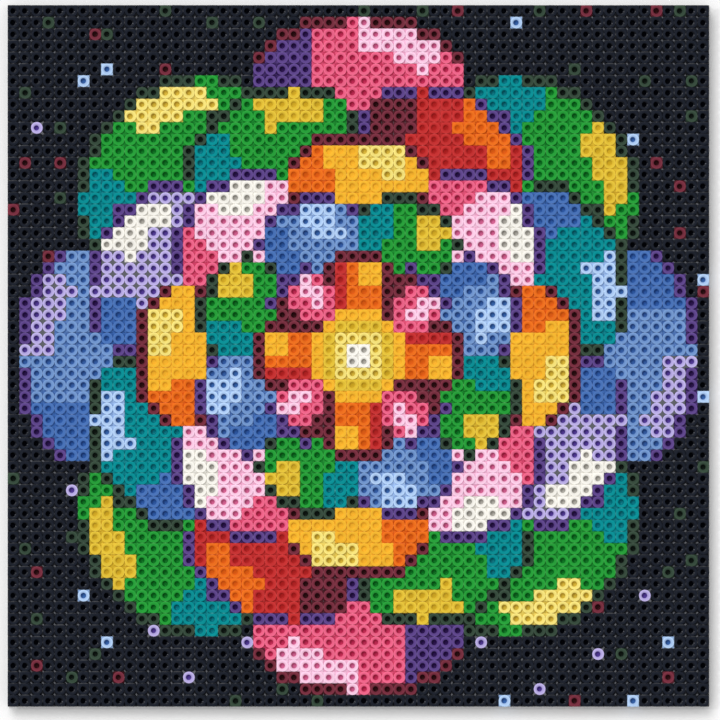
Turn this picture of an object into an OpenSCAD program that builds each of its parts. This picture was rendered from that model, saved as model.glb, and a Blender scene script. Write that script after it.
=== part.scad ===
// Tube bead mosaic panel: short plastic tubes stand side by side on the pegs of four
// square pegboards, which dovetail into one large square. The panel lies flat with the
// picture facing up (+Z) and the picture's top edge towards +Y. The origin is in the
// middle of the underside. Millimetres.

/* [Beads] */
// distance from one peg to the next
pitch = 5; // [4:0.1:10]
// space left between neighbouring beads
bead_gap = 0.06; // [0.02:0.01:0.4]
// diameter of the hole through a bead
bead_bore = 2.6; // [1.6:0.1:4]
// length of a bead, which is the thickness of the picture
bead_h = 5; // [3:0.1:10]
// space left under a seated bead
seat_gap = 0.2; // [0.1:0.05:0.5]

/* [Pegboards] */
// pegs along one side of one board
pegs_per_side = 30; // [20:2:40]
// thickness of a board's plate
plate_t = 1.6; // [1:0.1:4]
// height of a peg above its plate
peg_h = 3.6; // [2:0.1:6]
// space all round a peg inside a bead
peg_clearance = 0.3; // [0.1:0.05:0.5]
// space between the straight edges of two boards
seam_gap = 0.1; // [0.05:0.05:0.5]

/* [Dovetails] */
// dovetails along one edge
tab_count = 2; // [1:1:4]
// width of a dovetail at its tip
tab_w = 12; // [6:0.5:20]
// how much narrower a dovetail is at each side of its root
tab_flare = 0.6; // [0.2:0.1:2]
// space all round a dovetail in its slot
tab_clearance = 0.15; // [0.1:0.05:0.4]
// plate left between a slot and the nearest peg
tab_web = 0.15; // [0.1:0.05:0.5]

/* [Picture, in beads] */
// petals in each ring of the flower
petals = 8; // [4:2:12]
// radius of the flower's heart
heart_reach = 4.3; // [3:0.1:6]
// tips of the outermost petals from the picture's edge
flower_margin = 0.6; // [0:0.1:4]
// how far the innermost ring is cut in between its petals
first_bite = 2.4; // [1:0.1:4]
// how much deeper each further ring is cut in
bite_step = 0.7; // [0:0.1:2]
// width of the line round a petal
petal_line = 0.85; // [0.5:0.05:2]
// reach of a petal's highlight below its edge
highlight = 3.6; // [2:0.1:6]
// side of the square patches of ground that hold one odd bead each
patch = 4; // [3:1:8]

/* [Hidden] */
round_fn = 48;
beads_across = 2 * pegs_per_side;
last = beads_across - 1;
bead_d = pitch - bead_gap;
bead_z = plate_t + seat_gap;
peg_d = bead_bore - 2 * peg_clearance;
board_side = pegs_per_side * pitch;
tab_depth = pitch / 2 - peg_d / 2 - tab_web - tab_clearance;
tab_root = tab_w - 2 * tab_flare;

// Names of the bead colours and the tone of each.
TONES = [
    ["black", "#2b2d35"],
    ["dark_green", "#425a48"],
    ["wine", "#8e2f45"],
    ["red", "#d93535"],
    ["orange", "#f0742b"],
    ["amber", "#fdb92f"],
    ["yellow", "#ead045"],
    ["cream", "#fff0a0"],
    ["green", "#2fae40"],
    ["teal", "#0f9fa0"],
    ["blue", "#4468c4"],
    ["sky", "#6c97da"],
    ["pale_blue", "#bcd8ff"],
    ["purple", "#66469c"],
    ["lilac", "#c0b6ec"],
    ["rose", "#f06088"],
    ["blush", "#ffdcec"],
    ["white", "#fbfaf4"]
];
GROUND = "black";
BOARD_TONE = "#26272c";
function tone_of(colour) = [for (pair = TONES) if (pair[0] == colour) pair[1]][0];

// The heart, from its middle outwards.
HEART = ["white", "cream", "yellow", "amber"];

// Petals: line, shaded side, body and highlight. Each ring repeats its own list of petals.
EMBER = ["wine", "red", "orange", "amber"];
BERRY = ["purple", "wine", "rose", "blush"];
WATER = ["purple", "blue", "sky", "pale_blue"];
LEAF = ["dark_green", "teal", "green", "yellow"];
HONEY = ["wine", "orange", "amber", "cream"];
BLOSSOM = ["purple", "rose", "blush", "white"];
LAGOON = ["dark_green", "blue", "teal", "pale_blue"];
FLAME = ["purple", "wine", "red", "orange"];
FROST = ["purple", "blue", "lilac", "white"];
DUSK = ["purple", "blue", "sky", "lilac"];
PEONY = ["wine", "purple", "rose", "blush"];
SPRING = ["dark_green", "teal", "green", "cream"];
RINGS = [
    [EMBER, BERRY],
    [WATER, LEAF],
    [HONEY, BLOSSOM],
    [LAGOON, FLAME, LEAF, FROST],
    [DUSK, LEAF, PEONY, SPRING]
];

// Odd beads on the ground.
SPARKS = ["dark_green", "lilac", "wine", "dark_green", "pale_blue", "dark_green", "wine"];

ring_count = len(RINGS);
petal_angle = 360 / petals;
ring_step = (beads_across / 2 - flower_margin - heart_reach) / ring_count;
// where a petal's shade and highlight lie, from -1 to 1 across it
shade_from = 0.4;
light_from = -0.66;
light_to = -0.04;
line_from = 0.93;

function petal_tone(petal, across, depth) =
    depth < petal_line || abs(across) > line_from ? petal[0]
    : across > shade_from ? petal[1]
    : across > light_from && across < light_to && depth < highlight ? petal[3]
    : petal[2];

// The colour at a distance and a direction from the middle, undef outside the flower.
// Every second ring is turned by half a petal.
function ring_tone(reach, angle, ring = 0) =
    ring == ring_count ? undef
    : let (
        turn = angle / petal_angle + petals - (ring % 2) / 2,
        petal = floor(turn + 0.5),
        across = 2 * (turn - petal),
        bite = (first_bite + ring * bite_step) * (1 - sqrt(1 - across * across)),
        depth = heart_reach + (ring + 1) * ring_step - bite - reach
    )
    depth > 0 ? petal_tone(RINGS[ring][petal % len(RINGS[ring])], across, depth)
    : ring_tone(reach, angle, ring + 1);

function flower_tone(x, y) =
    let (reach = norm([x, y]))
    reach < heart_reach ? HEART[floor(reach / heart_reach * len(HEART))]
    : ring_tone(reach, atan2(y, x));

// A number from 0 to 1 that looks random and is the same each time.
function scatter(i, j, way) =
    let (wave = sin(i * 127.1 + j * 311.7 + way * 74.7) * 43758.5453)
    wave - floor(wave);

function ground_tone(col, row) =
    let (
        i = floor(col / patch),
        j = floor(row / patch),
        odd_col = floor(scatter(i, j, 1) * patch),
        odd_row = floor(scatter(i, j, 2) * patch)
    )
    col % patch == odd_col && row % patch == odd_row
    ? SPARKS[floor(scatter(i, j, 3) * len(SPARKS))]
    : GROUND;

function is_corner(col, row) = (col == 0 || col == last) && (row == 0 || row == last);

function bead_tone(col, row) =
    let (flower = flower_tone(col - last / 2, row - last / 2))
    is_corner(col, row) ? GROUND
    : flower == undef ? ground_tone(col, row)
    : flower;

// The four quarters of the panel, in the order in which the boards turn.
QUARTERS = ["front_left", "front_right", "back_right", "back_left"];
function quarter_of(col, row) =
    let (right = col >= pegs_per_side, back = row >= pegs_per_side)
    back ? (right ? 2 : 3) : (right ? 1 : 0);

PICTURE = [for (col = [0 : last]) [for (row = [0 : last]) bead_tone(col, row)]];
function is_used(colour) = len([for (line = PICTURE, tone = line) if (tone == colour) tone]) > 0;
PATTERN_COLOURS = [for (pair = TONES) if (pair[0] != GROUND && is_used(pair[0])) pair[0]];

// One bead: a short tube, standing on its own middle at the origin.
module bead() {
    rotate_extrude($fn = round_fn)
        translate([bead_bore / 2, 0])
            square([(bead_d - bead_bore) / 2, bead_h]);
}

// One bead in its place on the panel.
module bead_at(col, row) {
    translate([(col - last / 2) * pitch, (row - last / 2) * pitch, bead_z])
        bead();
}

module corner_beads() {
    color(tone_of(GROUND))
        for (col = [0, last], row = [0, last])
            bead_at(col, row);
}

// The ground's beads on one board, apart from the panel's corners.
function is_ground(col, row) = PICTURE[col][row] == GROUND && !is_corner(col, row);
module ground_beads(quarter) {
    color(tone_of(GROUND))
        for (col = [0 : last], row = [0 : last])
            if (is_ground(col, row) && quarter_of(col, row) == quarter)
                bead_at(col, row);
}

// All the beads of one colour in the picture.
module pattern_beads(colour) {
    color(tone_of(colour))
        for (col = [0 : last], row = [0 : last])
            if (PICTURE[col][row] == colour)
                bead_at(col, row);
}

// A dovetail seen from above, pointing to +X from the seam at x = 0.
// grow widens it all round, for its slot.
module dovetail(grow = 0) {
    root = tab_root / 2 + grow;
    tip = tab_w / 2 + grow;
    polygon([
        [-seam_gap, -root],
        [0, -root],
        [tab_depth + grow, -tip],
        [tab_depth + grow, tip],
        [0, root],
        [-seam_gap, root]
    ]);
}

// The middles of the dovetails along an edge, from the panel's middle outwards.
TAB_PLACES = [for (n = [0 : tab_count - 1]) -(n + 0.5) * board_side / tab_count];

// The plate of the front left board: dovetails on its right edge, slots in its back edge.
module plate() {
    difference() {
        union() {
            translate([-board_side, -board_side, 0])
                cube([board_side - seam_gap / 2, board_side - seam_gap / 2, plate_t]);
            for (place = TAB_PLACES)
                translate([0, place, 0])
                    linear_extrude(plate_t)
                        dovetail();
        }
        for (place = TAB_PLACES)
            translate([place, 0, -plate_t])
                rotate(-90)
                    linear_extrude(3 * plate_t)
                        dovetail(tab_clearance);
    }
}

// The front left board. The others are the same board, each a quarter turn further on.
module board() {
    plate();
    for (col = [1 : pegs_per_side], row = [1 : pegs_per_side])
        translate([(0.5 - col) * pitch, (0.5 - row) * pitch, plate_t / 2])
            cylinder(d = peg_d, h = plate_t / 2 + peg_h, $fn = round_fn);
}

module pegboard(quarter) {
    color(BOARD_TONE)
        rotate(90 * quarter)
            board();
}

for (quarter = [0 : len(QUARTERS) - 1]) {
    pegboard(quarter);
    ground_beads(quarter);
}
corner_beads();
for (colour = PATTERN_COLOURS)
    pattern_beads(colour);
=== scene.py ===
"""Looks of a tube bead mosaic panel: every bead modelled as ironing leaves it, moulded pegboards,
a white table, light from the upper left and a camera straight above."""

import math
from typing import NamedTuple

import bmesh
import bpy
import numpy as np
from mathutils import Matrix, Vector


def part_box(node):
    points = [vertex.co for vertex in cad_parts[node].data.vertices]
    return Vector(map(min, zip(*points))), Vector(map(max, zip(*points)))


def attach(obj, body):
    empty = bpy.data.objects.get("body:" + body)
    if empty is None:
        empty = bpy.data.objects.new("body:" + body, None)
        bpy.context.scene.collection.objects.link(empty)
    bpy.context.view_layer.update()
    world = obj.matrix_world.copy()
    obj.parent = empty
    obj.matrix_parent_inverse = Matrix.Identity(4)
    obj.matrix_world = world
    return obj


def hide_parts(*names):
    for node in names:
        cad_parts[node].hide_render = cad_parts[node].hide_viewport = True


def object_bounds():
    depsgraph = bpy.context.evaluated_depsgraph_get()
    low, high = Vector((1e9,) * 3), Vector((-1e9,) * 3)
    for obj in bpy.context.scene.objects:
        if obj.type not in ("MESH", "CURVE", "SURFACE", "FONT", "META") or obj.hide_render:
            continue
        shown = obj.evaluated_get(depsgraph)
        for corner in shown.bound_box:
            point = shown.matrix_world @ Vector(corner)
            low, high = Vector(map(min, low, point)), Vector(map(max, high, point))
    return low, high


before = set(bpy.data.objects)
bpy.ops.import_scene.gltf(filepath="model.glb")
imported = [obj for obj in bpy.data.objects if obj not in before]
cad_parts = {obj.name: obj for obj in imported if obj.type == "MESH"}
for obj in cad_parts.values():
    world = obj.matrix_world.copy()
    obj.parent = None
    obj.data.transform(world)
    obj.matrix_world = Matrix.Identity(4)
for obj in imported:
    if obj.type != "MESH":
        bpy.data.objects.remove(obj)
cad_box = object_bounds()

# Sizes of the object, in metres

MM = 0.001
PITCH = 5 * MM  # from one peg to the next
PLATE_T = 1.6 * MM
PLATE_EDGE = 0.2 * MM  # rounding of a plate's edges
BEAD_BOTTOM, BEAD_TOP = (corner[2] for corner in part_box("corner_beads"))
PEG_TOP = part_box("pegboard_front_left")[1][2]
LAST_BEAD = cad_box[1][0] - PITCH  # beads further out than this lie along the panel's edge

# Shapes of the beads and pegs, in millimetres

# How square a ring of a bead is: the power of a superellipse, 2 being a circle.
POINTED = 1.75
ROUND = 2.0
SOFT = 2.1
OPEN_SQUARE = 3.42
TIGHT_SQUARE = 9.0
FULL_SQUARE = 60.0

TUBE_REACH = 2.45  # of a bead below its web
EDGE_REACH = 2.505  # of a web along the panel's edge
OUTWARD = 0.1  # a web is pressed straight where it faces out of the panel by more than this share

# The parts of a bead's section. Each differs from bead to bead in its own way.
HOLE, RIM, WEB, TUBE = range(4)


def dimple(depth):
    """A hole that has closed above its peg, from its floor to its edge: reach, depth below the top
    and how far the iron has dragged it."""
    return [
        (0.10, depth, 0.16),
        (0.84, depth - 0.03, 0.16),
        (1.06, depth - 0.14, 0.16),
        (1.13, depth / 2, 0.14),
        (1.20, 0.18, 0.08),
        (1.36, 0.03, 0.00),
    ]


# The hole of a black bead, written the same way: a cone, a steep wall and a sloping lip, dragged
# to one side.
FUNNEL = [
    (0.03, 1.48, 0.30),
    (0.25, 1.12, 0.30),
    (1.00, 0.72, 0.29),
    (1.06, 0.27, 0.28),
    (1.20, 0.19, 0.18),
    (1.34, 0.10, 0.06),
    (1.48, 0.01, -0.07),
]


def bead_section(hole, rim_power, web_half, web_depth, web_power):
    """A bead's section, from the middle of its hole over the rim and the web, down the tube and up
    its bore to the peg's tip: reach, depth below the top, drag, squareness, part. The rim is fused
    to its neighbours at its sides. The web lies lower and fills the corners between four beads, as
    far as the plastic has flowed."""
    return np.array([(*row, ROUND, HOLE) for row in hole] + [
        (2.02, 0.00, 0.0, ROUND, RIM),
        (2.36, 0.01, 0.0, rim_power, RIM),
        (2.505, 0.05, 0.0, rim_power, RIM),
        (2.51, web_depth - 0.1, 0.0, SOFT, WEB),
        (web_half, web_depth, 0.0, web_power, WEB),
        (web_half, web_depth + 0.35, 0.0, web_power, WEB),
        (TUBE_REACH, web_depth + 0.80, 0.0, ROUND, WEB),
        (TUBE_REACH, 4.88, 0.0, ROUND, TUBE),
        (2.33, 5.00, 0.0, ROUND, TUBE),
        (1.38, 5.00, 0.0, ROUND, TUBE),
        (1.30, 4.90, 0.0, ROUND, TUBE),
        (1.25, 1.54, 0.0, ROUND, TUBE),
    ]).T


# A peg's section, from its domed tip into its plate: reach and height above the plate's face.
PEG_H = (PEG_TOP - PLATE_T) / MM
PEG_SECTION = [
    (0.25, PEG_H),
    (0.62, PEG_H - 0.06),
    (0.88, PEG_H - 0.20),
    (1.00, PEG_H - 0.50),
    (1.00, 0.30),
    (1.22, -0.05),
]

# How far the beads of each kind have melted

# Painted shade at the hole's lip: the darker tone's share there, and where it fades.
WIDE_LIP = (0.3, 0.28, 0.46)
BLACK_LIP = (1.0, 0.25, 0.30)
MATT, GLOSSY = 0.04, 0.13


class Flow(NamedTuple):
    """How far beads have melted, and how that looks."""
    section: np.ndarray
    # Painted shade at the hole's lip: the share of the darker tone there, and from where to where
    # that share fades, from the bead's axis in squares of the grid.
    lip_shade: tuple = WIDE_LIP
    seam_highlight: float = 0.05  # how much lighter the seam is painted where two beads have fused: a painted highlight
    shine: float = MATT
    web_rise: float = 0.0  # how much higher the web lies towards the picture's top


# Dark and loose beads keep a small gap where four of them meet; the others close it as they melt.
BLACK_FLOW = Flow(
    bead_section(FUNNEL, POINTED, web_half=2.75, web_depth=0.75, web_power=OPEN_SQUARE),
    lip_shade=BLACK_LIP, seam_highlight=0.08, shine=GLOSSY, web_rise=0.4,
)
DARK_FLOW = Flow(
    bead_section(dimple(1.46), SOFT, web_half=2.60, web_depth=0.75, web_power=TIGHT_SQUARE),
)
LOOSE_FLOW = Flow(
    bead_section(dimple(1.46), SOFT, web_half=2.512, web_depth=0.75, web_power=SOFT),
)
MIDDLE_FLOW = Flow(
    bead_section(dimple(1.46), SOFT, web_half=2.515, web_depth=0.72, web_power=FULL_SQUARE),
    seam_highlight=0.08,
)
PALE_FLOW = Flow(
    bead_section(dimple(1.46), SOFT, web_half=2.515, web_depth=0.48, web_power=FULL_SQUARE),
)
SHALLOW_FLOW = Flow(
    bead_section(dimple(0.70), SOFT, web_half=2.515, web_depth=0.48, web_power=FULL_SQUARE),
)

# How far one bead may differ from the next, since they are cut and ironed by hand

DRAG = (-0.98, 0.18)  # the way the iron went last
LEAN = math.radians(0.2)
TILT = math.radians(0.9)
HEIGHT_SPREAD = 0.05 * MM
HOLE_SHIFT = 0.08 * MM
HOLE_SPREAD = 0.05  # of the hole's reach
WEB_SPREAD = 0.2 * MM  # of the web's height

# Fineness of the meshes

BEAD_SIDES = 16
PEG_SIDES = 12
PLATE_EDGE_STEPS = 2
CREASE = math.radians(60)  # edges that turn further than this stay sharp
SAME_POINT = 0.001 * MM  # points closer than this are joined
UNDERSIDE = 0.01 * MM  # faces that reach higher than this are no part of a plate's underside
SAME_PLANE = 0.01  # faces that turn less than this, in radians, are joined

# Colours

# Each colour's ironed top, a darker tone painted as shade in the hole and the web, and how far its
# beads have flowed.
BEAD_COLOURS = {
    "black": ("#101520", "#020308", BLACK_FLOW),
    "dark_green": ("#3a4f40", "#04120a", DARK_FLOW),
    "wine": ("#7d3243", "#31040a", DARK_FLOW),
    "red": ("#c93535", "#960606", SHALLOW_FLOW),
    "orange": ("#f0731f", "#c04c02", SHALLOW_FLOW),
    "amber": ("#f4b731", "#e8ae2a", SHALLOW_FLOW),
    "yellow": ("#e8c63e", "#b89208", SHALLOW_FLOW),
    "cream": ("#f9e782", "#d3b840", MIDDLE_FLOW),
    "green": ("#29a13b", "#047a24", MIDDLE_FLOW),
    "teal": ("#048f94", "#02808d", MIDDLE_FLOW),
    "blue": ("#4c74b7", "#3262ab", MIDDLE_FLOW),
    "sky": ("#789cd1", "#3965a9", MIDDLE_FLOW),
    "pale_blue": ("#bad7fb", "#3c6cae", PALE_FLOW),
    "purple": ("#634a90", "#2e1055", MIDDLE_FLOW),
    "lilac": ("#c3b7ec", "#5a409c", LOOSE_FLOW),
    "rose": ("#f16a8e", "#c12e5c", MIDDLE_FLOW),
    "blush": ("#ffd5ee", "#d06998", PALE_FLOW),
    "white": ("#fdfaf2", "#b5b2ab", PALE_FLOW),
}
GROUND = "black"
GROUND_NODES = ("ground_beads_", "corner_beads")
BOARD_COLOUR = "#15161a"
GLOSS_TINT = "#e6edff"  # of dark plastic
WHITE = (1, 1, 1, 1)
# The colour of the painted highlight along the seams.
SEAM_HIGHLIGHT_TONE = "#ffffff"


def linear(tone):
    """A colour written as in a paint program, as the renderer's linear light."""
    parts = [int(tone[n:n + 2], 16) / 255 for n in (1, 3, 5)]
    return [c / 12.92 if c <= 0.04045 else ((c + 0.055) / 1.055) ** 2.4 for c in parts] + [1.0]


def colour_of(node):
    """The bead colour that a node's name stands for."""
    return GROUND if node.startswith(GROUND_NODES) else node.removesuffix("_beads")


# Skin of the beads. The ironed top is pale and matt. Below it, and a little at the hole's lip, the
# colour turns to a darker tone that paints shade there, and the plastic to its full shine.

TOP_DEPTH = 0.12 * MM
FULL_DEPTH = 0.95 * MM
WALL_DEPTH = (1.5 * MM, 1.9 * MM)  # the tube's own wall begins here, as pale as the top
WALL = (0.492, 0.496)  # the panel's outer wall, from the bead's axis in squares of the grid
SEAM = (0.45, 0.49)  # where two beads have fused, on the same scale
SEAM_DEPTH = (0, 0.3)  # the painted seam highlight fades over this share of the full depth
STREAK_SIZE = 4 * MM  # of the streaks in which the painted seam highlight lies
STREAK_RANGE = (0.35, 0.65)
TOP_ROUGHNESS = 0.62
DEEP_ROUGHNESS = 0.2
BEAD_LIGHT = (0.96, 1.04)  # from the darkest bead of a colour to the lightest
CLOUD_SIZE = 1.6 * MM
CLOUD_LIGHT = (0.9, 1.1)
CLOUD_ROUGHNESS = (0.85, 1.15)
BEAD_GRAIN_SIZE = 0.35 * MM
BEAD_GRAIN_DEPTH = 0.012 * MM

# Skin of the boards and the table

WEAR_SIZE = 14 * MM
WEAR_DETAIL = 5.0
WEAR_LIGHT = (0.75, 1.35)
BOARD_ROUGHNESS = (0.04, 0.1)
BOARD_IOR = 1.59
BOARD_SHINE = 1.0
BOARD_COAT = 1.0
BOARD_GRAIN_SIZE = 0.5 * MM
BOARD_GRAIN_DEPTH = 0.004 * MM
TABLE_PATCH_SIZE = 30 * MM
TABLE_ROUGHNESS = (0.8, 0.95)

# Materials


class Shader:
    """A Principled material with short ways to add and join nodes."""

    def __init__(self, name):
        self.material = bpy.data.materials.new(name)
        self.material.use_nodes = True
        self.tree = self.material.node_tree
        self.surface = self.tree.nodes["Principled BSDF"]
        self.place = self.add("ShaderNodeTexCoord").outputs["Object"]

    def add(self, kind, **settings):
        node = self.tree.nodes.new(kind)
        for name, value in settings.items():
            setattr(node, name, value)
        return node

    def join(self, source, target):
        self.tree.links.new(source, target)

    def fix(self, name, value):
        """Gives the surface a value that is the same all over."""
        self.surface.inputs[name].default_value = value

    def feed(self, name, source):
        """Gives the surface a value that differs from place to place."""
        self.join(source, self.surface.inputs[name])

    def noise(self, size, detail=3.0):
        """Noise whose blotches are about that size, in metres, fixed to the object."""
        noise = self.add("ShaderNodeTexNoise")
        noise.inputs["Scale"].default_value = 1 / size
        noise.inputs["Detail"].default_value = detail
        self.join(self.place, noise.inputs["Vector"])
        return noise.outputs["Fac"]

    def spread(self, source, low, high, start=0.0, end=1.0):
        """A number that runs from low to high while its source runs from start to end."""
        scale = self.add("ShaderNodeMapRange")
        names = ("From Min", "From Max", "To Min", "To Max")
        for name, value in zip(names, (start, end, low, high)):
            scale.inputs[name].default_value = value
        self.join(source, scale.inputs["Value"])
        return scale.outputs["Result"]

    def math(self, operation, one, other):
        step = self.add("ShaderNodeMath", operation=operation)
        self.join(one, step.inputs[0])
        self.join(other, step.inputs[1])
        return step.outputs["Value"]

    def product(self, one, other):
        return self.math("MULTIPLY", one, other)

    def vector(self, operation, source, value=(0, 0, 0)):
        step = self.add("ShaderNodeVectorMath", operation=operation)
        step.inputs[1].default_value = value
        self.join(source, step.inputs[0])
        return step

    def axes(self, source):
        """A vector's three numbers."""
        axes = self.add("ShaderNodeSeparateXYZ")
        self.join(source, axes.inputs["Vector"])
        return axes.outputs

    def from_axis(self, pitch):
        """How far a point lies from the middle of its square of a grid, in squares: in a straight
        line, and along the axis on which it lies further out."""
        squares = self.vector("MULTIPLY", self.place, (1 / pitch, 1 / pitch, 0))
        within = self.vector("FRACTION", squares.outputs["Vector"])
        middle = (0.5, 0.5, 0)
        across = self.vector("SUBTRACT", within.outputs["Vector"], middle).outputs["Vector"]
        straight = self.vector("LENGTH", across).outputs["Value"]
        sides = self.axes(self.vector("ABSOLUTE", across).outputs["Vector"])
        return straight, self.math("MAXIMUM", sides["X"], sides["Y"])

    def blended(self, share, one, other):
        """A colour that turns from one into the other."""
        mix = self.add("ShaderNodeMix", data_type="RGBA")
        self.join(share, mix.inputs["Factor"])
        self.join(one, mix.inputs["A"])
        self.join(other, mix.inputs["B"])
        return mix.outputs["Result"]

    def tinted(self, tone, light):
        """A colour made lighter or darker by a number."""
        tint = self.add("ShaderNodeHueSaturation")
        tint.inputs["Color"].default_value = linear(tone)
        self.join(light, tint.inputs["Value"])
        return tint.outputs["Color"]

    def bump(self, height, depth):
        bump = self.add("ShaderNodeBump")
        bump.inputs["Distance"].default_value = depth
        self.join(height, bump.inputs["Height"])
        self.feed("Normal", bump.outputs["Normal"])


def shine_and_shade_share(shader, lip_shade, from_middle, from_side):
    """The share of the darker tone that paints shade, and of the full shine: none on the top and on
    outer walls, all of it down in the hole and the web."""
    height = shader.axes(shader.place)["Z"]
    inside = shader.product(
        shader.spread(height, 1, 0, *(BEAD_TOP - depth for depth in WALL_DEPTH)),
        shader.spread(from_side, 1, 0, *WALL),
    )
    sunk = shader.spread(height, 0, 1, BEAD_TOP - TOP_DEPTH, BEAD_TOP - FULL_DEPTH)
    share, start, end = lip_shade
    at_lip = shader.spread(from_middle, share, 0, start, end)
    return shader.math("MAXIMUM", shader.product(sunk, inside), shader.product(at_lip, inside))


def painted_seam_highlight(shader, seam_highlight, depth, from_side):
    """A painted highlight, in streaks, along the seam where two beads have fused."""
    fused = shader.spread(from_side, 0, seam_highlight, *SEAM)
    seam = shader.product(fused, shader.spread(depth, 1, 0, *SEAM_DEPTH))
    streak = shader.spread(shader.noise(STREAK_SIZE), 0, 1, *STREAK_RANGE)
    return shader.product(seam, streak)


def bead_material(colour):
    """Ironed polyethylene: each bead a little lighter or darker, a cloudy skin that is pale and matt
    on top and shiny in the hole and the web, with painted shade there and a painted highlight along
    the seams."""
    top, shade_tone, flow = BEAD_COLOURS[colour]
    shader = Shader(f"{colour}_bead")
    island = shader.add("ShaderNodeNewGeometry").outputs["Random Per Island"]
    cloud = shader.noise(CLOUD_SIZE)
    light = shader.product(shader.spread(island, *BEAD_LIGHT), shader.spread(cloud, *CLOUD_LIGHT))
    from_middle, from_side = shader.from_axis(PITCH)
    depth = shine_and_shade_share(shader, flow.lip_shade, from_middle, from_side)

    # The hole and the web are painted in the darker tone, as shade.
    body = shader.blended(depth, shader.tinted(top, light), shader.tinted(shade_tone, light))
    # A painted highlight along the seams where beads have fused.
    white = painted_seam_highlight(shader, flow.seam_highlight, depth, from_side)
    shader.feed("Base Color", shader.blended(white, body, shader.tinted(SEAM_HIGHLIGHT_TONE, light)))

    skin = shader.spread(depth, TOP_ROUGHNESS, DEEP_ROUGHNESS)
    shader.feed("Roughness", shader.product(skin, shader.spread(cloud, *CLOUD_ROUGHNESS)))
    shader.fix("Specular IOR Level", flow.shine)
    if colour == GROUND:
        shader.fix("Specular Tint", linear(GLOSS_TINT))
    shader.bump(shader.noise(BEAD_GRAIN_SIZE), BEAD_GRAIN_DEPTH)
    return shader.material


def board_material():
    """Moulded polystyrene: dark and glossy, with a fine grain and cloudy rubbed patches."""
    shader = Shader("board")
    wear = shader.noise(WEAR_SIZE, WEAR_DETAIL)
    shader.feed("Base Color", shader.tinted(BOARD_COLOUR, shader.spread(wear, *WEAR_LIGHT)))
    shader.feed("Roughness", shader.spread(wear, *BOARD_ROUGHNESS))
    shader.fix("IOR", BOARD_IOR)
    shader.fix("Specular IOR Level", BOARD_SHINE)
    shader.fix("Specular Tint", linear(GLOSS_TINT))
    shader.fix("Coat Weight", BOARD_COAT)
    shader.bump(shader.noise(BOARD_GRAIN_SIZE), BOARD_GRAIN_DEPTH)
    return shader.material


def table_material():
    """A matt white table with the faintest unevenness."""
    shader = Shader("table")
    shader.fix("Base Color", WHITE)
    shader.fix("Specular IOR Level", 0.0)
    shader.feed("Roughness", shader.spread(shader.noise(TABLE_PATCH_SIZE), *TABLE_ROUGHNESS))
    return shader.material


# Meshes


def smooth_object(name, points, faces, caps):
    """An object from points, four-sided faces and caps with more sides, shaded smooth."""
    mesh = bpy.data.meshes.new(name)
    mesh.vertices.add(len(points))
    mesh.vertices.foreach_set("co", points.ravel())
    mesh.loops.add(faces.size + caps.size)
    mesh.loops.foreach_set("vertex_index", np.concatenate([faces.ravel(), caps.ravel()]))
    mesh.polygons.add(len(faces) + len(caps))
    starts = [np.arange(len(each)) * each.shape[1] for each in (faces, caps)]
    mesh.polygons.foreach_set("loop_start", np.concatenate([starts[0], starts[1] + faces.size]))
    mesh.update(calc_edges=True)
    mesh.shade_smooth()
    mesh.set_sharp_from_angle(angle=CREASE)
    piece = bpy.data.objects.new(name, mesh)
    bpy.context.scene.collection.objects.link(piece)
    return piece


def turned_object(name, points):
    """An object of many turned shapes, closed at both ends. Its points run by shape, side and ring;
    seen from above the sides run anticlockwise and the rings from the middle outwards."""
    count, sides, rings = points.shape[:3]
    firsts = np.arange(count)[:, None, None] * sides * rings
    side, ring = np.meshgrid(np.arange(sides), np.arange(rings - 1), indexing="ij")
    after = (side + 1) % sides
    corners = [(side, ring), (side, ring + 1), (after, ring + 1), (after, ring)]
    faces = np.stack([s * rings + r for s, r in corners], axis=-1).reshape(-1, 4)
    middle = np.arange(sides) * rings
    caps = np.stack([middle, middle[::-1] + rings - 1])
    return smooth_object(
        name,
        points.reshape(-1, 3),
        (faces + firsts).reshape(-1, 4),
        (caps + firsts).reshape(-1, sides),
    )


def turned_by(sides):
    """Cosine and sine of the angles at which a turned shape has its sides."""
    angle = np.arange(sides)[None, :, None] * 2 * math.pi / sides
    return np.cos(angle), np.sin(angle)


def bead_places(node):
    """The middles of a node's beads, from the squares of the peg grid that its mesh lies in."""
    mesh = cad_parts[node].data
    points = np.empty(3 * len(mesh.vertices))
    mesh.vertices.foreach_get("co", points)
    squares = np.unique(np.floor(points.reshape(-1, 3)[:, :2] / PITCH), axis=0)
    return (squares + 0.5) * PITCH


def outward_share(right, up, cos, sin):
    """How far each side of each bead faces out of the panel, for the beads along its edge."""
    return np.maximum(
        np.sign(right) * cos * (np.abs(right) > LAST_BEAD),
        np.sign(up) * sin * (np.abs(up) > LAST_BEAD),
    )


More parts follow.
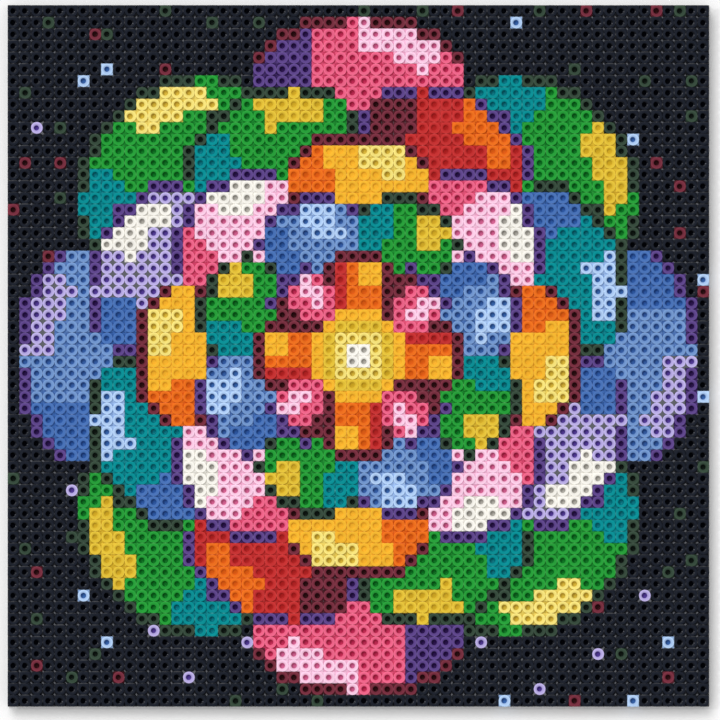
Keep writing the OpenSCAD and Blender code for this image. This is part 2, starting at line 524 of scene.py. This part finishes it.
def make_beads(node, seed):
    """All the beads of one node, each a little different from the next."""
    right, up = (place[:, None, None] for place in bead_places(node).T)
    count = len(right)
    chance = np.random.default_rng(seed)

    def vary(spread):
        return chance.uniform(-spread, spread, count)[:, None, None]

    flow = BEAD_COLOURS[colour_of(node)][2]
    reach, depth, drag, power, part = flow.section
    hole, web = part == HOLE, part == WEB
    cos, sin = turned_by(BEAD_SIDES)
    at_edge = web & (reach > TUBE_REACH) & (outward_share(right, up, cos, sin) > OUTWARD)
    power = np.where(at_edge, FULL_SQUARE, power)
    reach = np.where(at_edge, np.minimum(reach, EDGE_REACH), reach)
    reach = reach * MM / (np.abs(cos) ** power + np.abs(sin) ** power) ** (1 / power)
    reach = reach * (1 + hole * vary(HOLE_SPREAD))
    x = reach * cos + hole * vary(HOLE_SHIFT) + drag * MM * DRAG[0]
    y = reach * sin + hole * vary(HOLE_SHIFT) + drag * MM * DRAG[1]
    z = BEAD_TOP - depth * MM + web * (vary(WEB_SPREAD) + flow.web_rise * MM * sin)
    above = z - BEAD_BOTTOM
    points = np.stack([
        right + x + vary(LEAN) * above,
        up + y + vary(LEAN) * above,
        z + vary(TILT) * x + vary(TILT) * y + vary(HEIGHT_SPREAD),
    ], axis=-1)
    return turned_object(f"{node}_ironed", points)


def make_pegs(node):
    """The pegs of one board, on the same grid as the beads that they hold."""
    low, high = (np.array(corner[:2]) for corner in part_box(node))
    first, end = np.round(low / PITCH), np.round(high / PITCH)
    squares = np.stack(np.meshgrid(*map(np.arange, first, end), indexing="ij"), axis=-1)
    places = (squares.reshape(-1, 2) + 0.5) * PITCH
    reach, height = np.array(PEG_SECTION).T * MM
    cos, sin = turned_by(PEG_SIDES)
    x = places[:, 0, None, None] + reach * cos
    y = places[:, 1, None, None] + reach * sin
    points = np.stack([x, y, np.broadcast_to(PLATE_T + height, x.shape)], axis=-1)
    return turned_object(f"{node}_moulded", points)


def add_plate(board, node):
    """Adds the plate with its dovetails to a board, from the outline of the CAD plate's underside."""
    plate = bmesh.new()
    plate.from_mesh(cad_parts[node].data)
    bmesh.ops.remove_doubles(plate, verts=plate.verts, dist=SAME_POINT)
    above = [f for f in plate.faces if max(v.co.z for v in f.verts) > UNDERSIDE]
    bmesh.ops.delete(plate, geom=above, context="FACES")
    bmesh.ops.dissolve_limit(plate, angle_limit=SAME_PLANE, verts=plate.verts, edges=plate.edges)
    raised = bmesh.ops.extrude_face_region(plate, geom=plate.faces[:])["geom"]
    top = [v for v in raised if isinstance(v, bmesh.types.BMVert)]
    bmesh.ops.translate(plate, verts=top, vec=Vector((0, 0, PLATE_T)))
    bmesh.ops.recalc_face_normals(plate, faces=plate.faces)
    edges = [e for e in plate.edges if e.calc_face_angle(0) > CREASE]
    bmesh.ops.bevel(
        plate, geom=edges, offset=PLATE_EDGE, segments=PLATE_EDGE_STEPS, affect="EDGES",
    )
    plate.from_mesh(board.data)
    plate.to_mesh(board.data)
    plate.free()


# Pieces

board_look = board_material()
bead_looks = {colour: bead_material(colour) for colour in BEAD_COLOURS}

for seed, node in enumerate(sorted(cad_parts)):
    if node.startswith("pegboard_"):
        piece = make_pegs(node)
        add_plate(piece, node)
        piece.data.materials.append(board_look)
        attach(piece, "boards")
    else:
        piece = make_beads(node, seed)
        piece.data.materials.append(bead_looks[colour_of(node)])
        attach(piece, "picture")
    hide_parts(node)

# Table

TABLE_SIDE = 4.0
TABLE_DROP = 0.05 * MM  # below the boards, so that the two faces stay apart

bpy.ops.mesh.primitive_plane_add(size=TABLE_SIDE, location=(0, 0, -TABLE_DROP))
table = bpy.context.active_object
table.name = "table"
table.data.materials.append(table_material())

# Light: a broad lamp from the picture's top and a little from its left, a small bulb from its left,
# and a white room

ROOM_LIGHT = 0.62


class Lamp(NamedTuple):
    """A far lamp."""
    name: str
    strength: float
    spread: float  # in degrees, how wide it looks from the table
    direction: tuple  # the way its light falls


LAMPS = (
    Lamp("key", strength=1.27, spread=36, direction=(0.65, -1.62, -2.05)),
    Lamp("bulb", strength=0.4, spread=6, direction=(1.42, -0.46, -2.05)),
)


def add_lamp(lamp):
    sun = bpy.data.lights.new(lamp.name, "SUN")
    sun.energy = lamp.strength
    sun.angle = math.radians(lamp.spread)
    holder = bpy.data.objects.new(lamp.name, sun)
    holder.rotation_euler = Vector(lamp.direction).to_track_quat("-Z", "Y").to_euler()
    bpy.context.scene.collection.objects.link(holder)


def make_room():
    """A world that lights the panel softly and shows full white where it is seen or mirrored."""
    world = bpy.data.worlds.new("room")
    bpy.context.scene.world = world
    world.use_nodes = True
    nodes, links = world.node_tree.nodes, world.node_tree.links
    nodes.clear()
    room = nodes.new("ShaderNodeBackground")
    room.inputs["Color"].default_value = WHITE
    room.inputs["Strength"].default_value = ROOM_LIGHT
    backdrop = nodes.new("ShaderNodeBackground")
    backdrop.inputs["Color"].default_value = WHITE
    ray = nodes.new("ShaderNodeLightPath")
    seen = ray.outputs["Is Camera Ray"]
    for kind in ("Is Glossy Ray", "Is Transmission Ray"):
        either = nodes.new("ShaderNodeMath")
        either.operation = "MAXIMUM"
        links.new(seen, either.inputs[0])
        links.new(ray.outputs[kind], either.inputs[1])
        seen = either.outputs["Value"]
    choice = nodes.new("ShaderNodeMixShader")
    links.new(seen, choice.inputs["Fac"])
    links.new(room.outputs["Background"], choice.inputs[1])
    links.new(backdrop.outputs["Background"], choice.inputs[2])
    links.new(choice.outputs["Shader"], nodes.new("ShaderNodeOutputWorld").inputs["Surface"])


for each in LAMPS:
    add_lamp(each)
make_room()

# Camera: straight above and far off, so that every bead is seen along its own axis

# The photograph's frame in pixels, the panel's width in it, and the panel's place off its middle.
FRAME_PX = 720
PANEL_PX = 701.6
PANEL_RIGHT_PX = -1.6
PANEL_UP_PX = 4.1
LENS_MM = 600
SENSOR_MM = 36


def add_camera():
    pixel = (cad_box[1][0] - cad_box[0][0]) / PANEL_PX
    distance = FRAME_PX * pixel * LENS_MM / SENSOR_MM
    lens = bpy.data.cameras.new("camera")
    lens.lens = LENS_MM
    lens.sensor_width = SENSOR_MM
    camera = bpy.data.objects.new("camera", lens)
    camera.location = (-PANEL_RIGHT_PX * pixel, -PANEL_UP_PX * pixel, BEAD_TOP + distance)
    bpy.context.scene.collection.objects.link(camera)
    bpy.context.scene.camera = camera


add_camera()
bpy.context.scene.view_settings.view_transform = "Standard"
